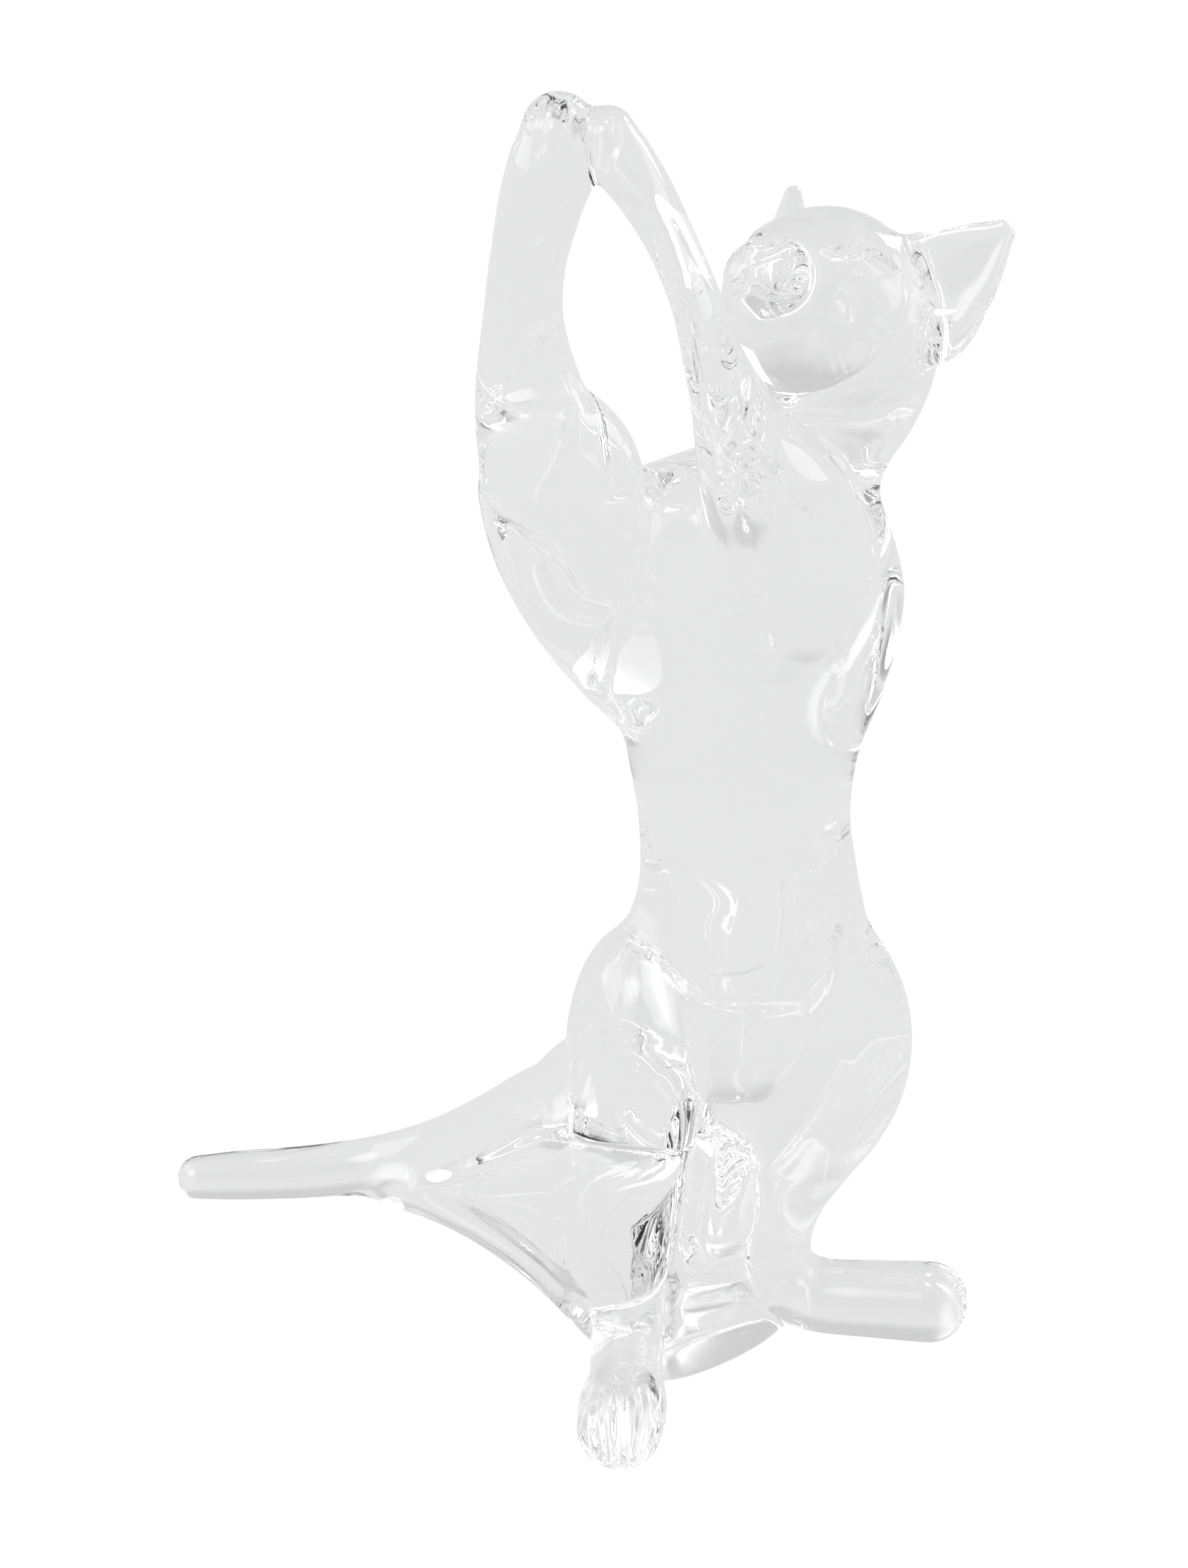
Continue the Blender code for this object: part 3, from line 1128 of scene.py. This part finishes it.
    def folds(self) -> list[Crease]:
        """The folds of the elbow, upper arm, armpit and calf, the ridge along the left forearm, and
        the hollow and the ridge in the web between the feet.
        """
        elbow = ((2.0, -26.4, 142.0), (3.0, -23.8, 136.0), (4.2, -20.2, 128.0),
                 (5.8, -17.4, 120.0), (7.4, -15.2, 113.5))
        upper_arm = ((3.6, -29.4, 149.0), (8.0, -27.0, 144.6), (11.5, -24.4, 139.0),
                     (15.0, -20.4, 134.0))
        armpit = ((-11.6, -17.6, 124.5), (-13.8, -17.6, 119.0), (-15.4, -16.4, 114.0),
                  (-16.2, -13.6, 109.0))
        calf = ((18.6, -7.8, 49.0), (15.6, -7.4, 42.5), (12.4, -5.8, 36.5), (7.4, -1.4, 28.0))
        forearm = ((-9.4, -31.2, 185.5), (-6.2, -32.4, 179.5), (-4.2, -33.2, 172.0),
                   (-2.4, -33.2, 164.0), (-0.6, -32.2, 156.5), (0.6, -29.4, 149.0))
        hollow = ((-5.0, -7.5, 14.5), (-0.5, -4.0, 13.0), (4.0, -0.5, 12.0), (8.5, 3.0, 11.5))
        web_ridge = ((-7.0, -12.0, 10.5), (0.4, -6.0, 8.6), (6.9, 0.4, 6.8), (12.1, 2.0, 5.6))
        return [
            Crease(elbow, 1.5, 1.9),
            Crease(upper_arm, 1.3, 1.3),
            Crease(armpit, 1.3, 1.5),
            Crease(calf, 1.1, 0.9),
            Crease(forearm, 1.4, -0.9),
            Crease(hollow, 2.4, 1.8),
            Crease(web_ridge, 1.5, -0.9),
        ]


@dataclass
class CatSkin:
    """The fused glass skin of the whole cat.

    Attributes:
        scale: Metres for one drawn millimetre.
        voxel: Size of the remeshed clay's cells, in drawn millimetres.
        level_bead: Half thickness of a bead in a limb of level slices, in drawn millimetres.
        bead_squash: Thickness of any other bead over its limb's smaller half.
        bead_step: Step from bead to bead over a bead's half thickness.
        evening: How much of the way each round of evening moves a point.
    """

    scale: float
    voxel: float = 0.95
    level_bead: float = 2.0
    bead_squash: float = 0.6
    bead_step: float = 0.45
    evening: float = 0.6

    def __post_init__(self) -> None:
        """Gathers limbs and marks."""
        head = Head()
        body = Body()
        plain = FusedForm([body.torso(), *head.limbs(), *body.limbs()], [])
        marks = [*head.marks(), *body.toe_creases(), *body.folds(), body.belly_undercut()]
        self.form = FusedForm(plain.limbs, [mark.laid_on(plain) for mark in marks])

    def add_beads(self) -> list[bpy.types.Object]:
        """Adds a row of overlapping oval beads along every limb's spine."""
        beads = []
        for limb in self.form.limbs:
            travelled = FAR
            previous = limb.centres[0]
            for index, centre in enumerate(limb.centres):
                travelled += np.linalg.norm(centre - previous)
                previous = centre
                half_width, half_depth = limb.halves[index]
                thin = min(half_width, half_depth)
                at_end = index in (0, len(limb.centres) - 1)
                if limb.plane is SectionPlane.LEVEL:
                    thin = self.level_bead
                elif not at_end:
                    thin *= self.bead_squash
                if travelled < self.bead_step * thin and not at_end:
                    continue
                travelled = 0.0
                axes = np.column_stack(
                    [limb.widths[index], limb.depths[index], limb.tangents[index]]
                )
                bpy.ops.mesh.primitive_uv_sphere_add(
                    segments=20,
                    ring_count=12,
                    radius=self.scale,
                    location=Vector(centre) * self.scale,
                    rotation=Matrix(axes.tolist()).to_euler(),
                    scale=(half_width, half_depth, thin),
                )
                beads.append(bpy.context.object)
        return beads

    def clay(self) -> bpy.types.Object:
        """Joins the beads and remeshes them into one closed mesh."""
        deselect_all()
        beads = self.add_beads()
        for bead in beads:
            bead.select_set(True)
        bpy.context.view_layer.objects.active = beads[0]
        bpy.ops.object.join()
        bpy.ops.object.transform_apply(location=True, rotation=True, scale=True)
        skin = bpy.context.object
        skin.name = "fused_crystal_skin"
        remesh = skin.modifiers.new("clay", "REMESH")
        remesh.mode = "VOXEL"
        remesh.voxel_size = self.voxel * self.scale
        bpy.ops.object.modifier_apply(modifier=remesh.name)
        log.info("clay of %d beads has %d faces", len(beads), len(skin.data.polygons))
        return skin

    def refine(self, skin: bpy.types.Object) -> None:
        """Drops trapped bubbles, and gives the zones with fine detail a mesh twice as dense.

        Args:
            skin: The remeshed clay.
        """
        shape = bmesh.new()
        shape.from_mesh(skin.data)
        drop_bubbles(shape)
        dense = set()
        for zone in Zone:
            low, high = (Vector(corner) * self.scale for corner in zone.value)
            for face in shape.faces:
                middle = face.calc_center_median()
                if all(low[axis] < middle[axis] < high[axis] for axis in range(3)):
                    dense.update(face.edges)
        bmesh.ops.subdivide_edges(shape, edges=list(dense), cuts=1, use_grid_fill=True)
        bmesh.ops.triangulate(shape, faces=[face for face in shape.faces if len(face.verts) > 4])
        shape.to_mesh(skin.data)
        shape.free()

    def draw_onto_form(self, skin: bpy.types.Object) -> None:
        """Draws the clay onto the fused form and gives it the form's own normals.

        Args:
            skin: The refined clay.
        """
        mesh = skin.data
        edges = read_edges(mesh)
        points = self.form.settle(read_points(mesh) / self.scale, 4)
        for _ in range(3):
            points = self.form.settle(relaxed(points, edges, self.evening), 1)
        points = self.form.settle(points, 2)
        mesh.vertices.foreach_set("co", (points * self.scale).ravel())
        mesh.update()
        mesh.shade_smooth()
        normals = unit(self.form.slope(points, self.form.distance(points)))
        mesh.normals_split_custom_set_from_vertices(normals.tolist())

    def build(self, finish: "CrystalFinish") -> bpy.types.Object:
        """Makes the skin and dresses it in crystal.

        Args:
            finish: The crystal.

        Returns:
            The finished skin.
        """
        skin = self.clay()
        self.refine(skin)
        self.draw_onto_form(skin)
        skin.data.materials.clear()
        skin.data.materials.append(finish.material())
        log.info("skin has %d faces", len(skin.data.polygons))
        return skin


# ---------------------------------------------------------------------------------------------
# Finishes
# ---------------------------------------------------------------------------------------------


def new_material(name: str) -> tuple[bpy.types.Material, bpy.types.Node]:
    """A node material.

    Args:
        name: The material's name.

    Returns:
        The material and its Principled shader.
    """
    material = bpy.data.materials.new(name)
    material.use_nodes = True
    return material, material.node_tree.nodes["Principled BSDF"]


@dataclass(frozen=True)
class CrystalFinish:
    """Clear, water-white crystal, fire-polished, with soles that were ground flat.

    Attributes:
        tint: What one surface lets through.
        index: Index of refraction.
        polish: Roughness of the fire-polished skin.
        ground: Roughness of the ground soles.
        sole_height: Height below which the glass is ground, in metres.
        cord_size: Size of the faint streaks that hot working leaves, in metres.
        cord_strength: Strength of those streaks.
    """

    tint: tuple[float, float, float, float] = (0.985, 0.987, 0.99, 1.0)
    index: float = 1.52
    polish: float = 0.0
    ground: float = 0.22
    sole_height: float = 0.00012
    cord_size: float = 0.03
    cord_strength: float = 0.03

    def material(self) -> bpy.types.Material:
        """The crystal as a node material."""
        material, shader = new_material("clear_crystal")
        nodes = material.node_tree.nodes
        links = material.node_tree.links
        shader.inputs["Base Color"].default_value = self.tint
        shader.inputs["IOR"].default_value = self.index
        shader.inputs["Metallic"].default_value = 0.0
        shader.inputs["Transmission Weight"].default_value = 1.0
        place = nodes.new("ShaderNodeTexCoord")
        height = nodes.new("ShaderNodeSeparateXYZ")
        links.new(place.outputs["Object"], height.inputs["Vector"])
        sole = nodes.new("ShaderNodeMapRange")
        sole.inputs["From Min"].default_value = self.sole_height
        sole.inputs["From Max"].default_value = self.sole_height / 2
        sole.inputs["To Min"].default_value = self.polish
        sole.inputs["To Max"].default_value = self.ground
        links.new(height.outputs["Z"], sole.inputs["Value"])
        links.new(sole.outputs["Result"], shader.inputs["Roughness"])
        stretch = nodes.new("ShaderNodeMapping")
        stretch.inputs["Scale"].default_value = (1.0, 1.0, 0.35)
        links.new(place.outputs["Object"], stretch.inputs["Vector"])
        cord = nodes.new("ShaderNodeTexNoise")
        cord.inputs["Scale"].default_value = 1 / self.cord_size
        cord.inputs["Detail"].default_value = 1.0
        cord.inputs["Roughness"].default_value = 0.4
        links.new(stretch.outputs["Vector"], cord.inputs["Vector"])
        bump = nodes.new("ShaderNodeBump")
        bump.inputs["Strength"].default_value = self.cord_strength
        bump.inputs["Distance"].default_value = self.cord_size / 10
        links.new(cord.outputs["Fac"], bump.inputs["Height"])
        links.new(bump.outputs["Normal"], shader.inputs["Normal"])
        return material


@dataclass(frozen=True)
class TableFinish:
    """A matt table that is lit from below and looks whiter straight on than through the glass.

    Attributes:
        colour: What the table scatters of the lights above it.
        glow: Its own light, as the glass sees it.
        straight_glow: Its own light, as the camera sees it past the glass.
    """

    colour: tuple[float, float, float, float] = (0.06, 0.06, 0.06, 1.0)
    glow: float = 0.735
    straight_glow: float = 1.0

    def material(self) -> bpy.types.Material:
        """The table as a node material."""
        material, shader = new_material("lit_table")
        nodes = material.node_tree.nodes
        links = material.node_tree.links
        shader.inputs["Base Color"].default_value = self.colour
        shader.inputs["Roughness"].default_value = 1.0
        shader.inputs["Specular IOR Level"].default_value = 0.0
        shader.inputs["Emission Color"].default_value = (1.0, 1.0, 1.0, 1.0)
        level = nodes.new("ShaderNodeMix")
        level.inputs["A"].default_value = self.glow
        level.inputs["B"].default_value = self.straight_glow
        path = nodes.new("ShaderNodeLightPath")
        links.new(path.outputs["Is Camera Ray"], level.inputs["Factor"])
        links.new(level.outputs["Result"], shader.inputs["Emission Strength"])
        return material


# ---------------------------------------------------------------------------------------------
# Studio
# ---------------------------------------------------------------------------------------------


@dataclass(frozen=True)
class SoftBox:
    """One rectangular soft light, aimed at the figurine.

    Attributes:
        name: The light's name.
        place: Its middle, in metres.
        size: Its width and height, in metres.
        brightness: Its radiance, where the tent's own is a little under one.
    """

    name: str
    place: Triple
    size: tuple[float, float]
    brightness: float

    def add(self, target: Vector) -> None:
        """Adds the light, turned to the target.

        Args:
            target: What it's aimed at.
        """
        light = bpy.data.lights.new(self.name, "AREA")
        light.shape = "RECTANGLE"
        light.size, light.size_y = self.size
        light.energy = self.brightness * math.pi * self.size[0] * self.size[1]
        lamp = bpy.data.objects.new(self.name, light)
        bpy.context.scene.collection.objects.link(lamp)
        lamp.location = self.place
        lamp.rotation_euler = (target - lamp.location).to_track_quat("-Z", "Y").to_euler()
        lamp.visible_camera = False


@dataclass(frozen=True)
class Glow:
    """A soft-edged round glow in the tent's wall. A change below zero darkens the wall.

    Attributes:
        towards: Direction of its middle.
        inner: Angle from the middle to where it is full, in degrees.
        outer: Angle to where it ends, in degrees.
        change: What it adds to the wall's radiance.
    """

    towards: Triple
    inner: float
    outer: float
    change: float

    def level(
        self, nodes: bpy.types.Nodes, links: bpy.types.NodeLinks, direction: bpy.types.NodeSocket
    ) -> bpy.types.NodeSocket:
        """Adds the glow to the world's nodes.

        Args:
            nodes: The world's nodes.
            links: The world's links.
            direction: Socket with the direction looked in.

        Returns:
            The socket with what the glow adds.
        """
        facing = nodes.new("ShaderNodeVectorMath")
        facing.operation = "DOT_PRODUCT"
        facing.inputs[1].default_value = Vector(self.towards).normalized()
        links.new(direction, facing.inputs[0])
        level = nodes.new("ShaderNodeMapRange")
        level.interpolation_type = "SMOOTHSTEP"
        level.inputs["From Min"].default_value = math.cos(math.radians(self.outer))
        level.inputs["From Max"].default_value = math.cos(math.radians(self.inner))
        level.inputs["To Min"].default_value = 0.0
        level.inputs["To Max"].default_value = self.change
        links.new(facing.outputs["Value"], level.inputs["Value"])
        return level.outputs["Result"]


@dataclass
class Studio:
    """White table, bright room, soft boxes and camera.

    Attributes:
        table_size: Length of the table's sides, in metres.
        table_drop: How far the table lies under the soles, in metres.
        tent_glow: Radiance of the tent's wall, as the glass sees it.
        glows: Brighter and darker rounds in the wall.
        boxes: The soft lights.
        elevation: How far above level the camera looks from, in radians.
        camera_distance: From the aim to the camera, in metres.
        lens: The camera's focal length, in millimetres.
        aim: Where the camera looks.
        lights_aim: Where the soft lights look.
    """

    table_size: float = 8.0
    table_drop: float = 0.0003
    tent_glow: float = 0.80
    glows: tuple[Glow, ...] = (
        Glow((0.0, -1.0, 0.35), 12.0, 36.0, -0.50),
        Glow((-0.8, -0.7, 0.8), 5.0, 22.0, 3.5),
        Glow((0.0, 0.75, 0.66), 28.0, 44.0, -0.17),
    )
    boxes: tuple[SoftBox, ...] = (
        SoftBox("left_panel", (-0.50, 0.05, 0.32), (0.5, 0.3), 1.3),
        SoftBox("right_panel", (0.50, 0.05, 0.32), (0.5, 0.3), 1.3),
        SoftBox("back_right_box", (0.8, 0.9, 0.7), (0.30, 0.55), 4.0),
        SoftBox("top_box", (0.1, -0.1, 1.4), (0.45, 0.45), 4.5),
    )
    elevation: float = math.radians(20.0)
    camera_distance: float = 0.9
    lens: float = 142.1
    aim: Triple = (-0.0167, 0.0, 0.0899)
    lights_aim: Triple = (0.0, 0.0, 0.1)

    def add_table(self) -> None:
        """The white table, just under the soles."""
        bpy.ops.mesh.primitive_plane_add(size=self.table_size, location=(0, 0, -self.table_drop))
        table = bpy.context.object
        table.name = "table"
        table.data.materials.append(TableFinish().material())
        table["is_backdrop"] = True

    def add_room(self) -> None:
        """An even bright tent, with glows and the darker opening in front."""
        world = bpy.data.worlds.new("light_tent")
        world.use_nodes = True
        bpy.context.scene.world = world
        nodes = world.node_tree.nodes
        links = world.node_tree.links
        direction = nodes.new("ShaderNodeTexCoord").outputs["Generated"]
        total = nodes.new("ShaderNodeMath")
        total.inputs[0].default_value = self.tent_glow
        total.inputs[1].default_value = 0.0
        for glow in self.glows:
            adding = nodes.new("ShaderNodeMath")
            links.new(total.outputs[0], adding.inputs[0])
            links.new(glow.level(nodes, links, direction), adding.inputs[1])
            total = adding
        through = nodes.new("ShaderNodeMath")
        through.operation = "MAXIMUM"
        through.inputs[1].default_value = 0.0
        links.new(total.outputs[0], through.inputs[0])
        seen = nodes.new("ShaderNodeMix")
        seen.inputs["B"].default_value = 1.0
        links.new(nodes.new("ShaderNodeLightPath").outputs["Is Camera Ray"], seen.inputs["Factor"])
        links.new(through.outputs[0], seen.inputs["A"])
        background = nodes["Background"]
        background.inputs["Strength"].default_value = 1.0
        links.new(seen.outputs["Result"], background.inputs["Color"])

    def add_lights(self) -> None:
        """A side panel on each side and soft boxes behind and overhead."""
        target = Vector(self.lights_aim)
        for box in self.boxes:
            box.add(target)

    def add_camera(self) -> None:
        """The camera, above and in front of the figurine."""
        camera_data = bpy.data.cameras.new("camera")
        camera_data.lens = self.lens
        camera_data.sensor_width = 36.0
        camera = bpy.data.objects.new("camera", camera_data)
        bpy.context.scene.collection.objects.link(camera)
        aim = Vector(self.aim)
        back = Vector((0.0, -math.cos(self.elevation), math.sin(self.elevation)))
        camera.location = aim + self.camera_distance * back
        camera.rotation_euler = (-back).to_track_quat("-Z", "Y").to_euler()
        bpy.context.scene.camera = camera

    def build(self) -> None:
        """Sets up the whole studio."""
        self.add_camera()
        self.add_table()
        self.add_room()
        self.add_lights()
        scene = bpy.context.scene
        scene.view_settings.view_transform = "Standard"
        scene.cycles.max_bounces = 24
        scene.cycles.transmission_bounces = 24
        scene.cycles.glossy_bounces = 12


def as_lists(bounds: tuple) -> list[list[float]]:
    """A pair of corners as plain lists of numbers."""
    return [[float(value) for value in corner] for corner in bounds]


def main() -> None:
    """Builds the skin around the frame, dresses it and sets up the studio."""
    logging.basicConfig(level=logging.INFO, format="%(name)s: %(message)s")
    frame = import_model()
    cad_box = as_lists(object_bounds())
    metres = (cad_box[1][2] - cad_box[0][2]) / DRAWN_HEIGHT
    skin = CatSkin(metres).build(CrystalFinish())
    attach(skin, "root")
    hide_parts(*frame["nodes"])
    log.info("%s stands for %d sections", skin.name, len(frame["nodes"]))
    Studio().build()


if __name__ == "__main__":
    main()
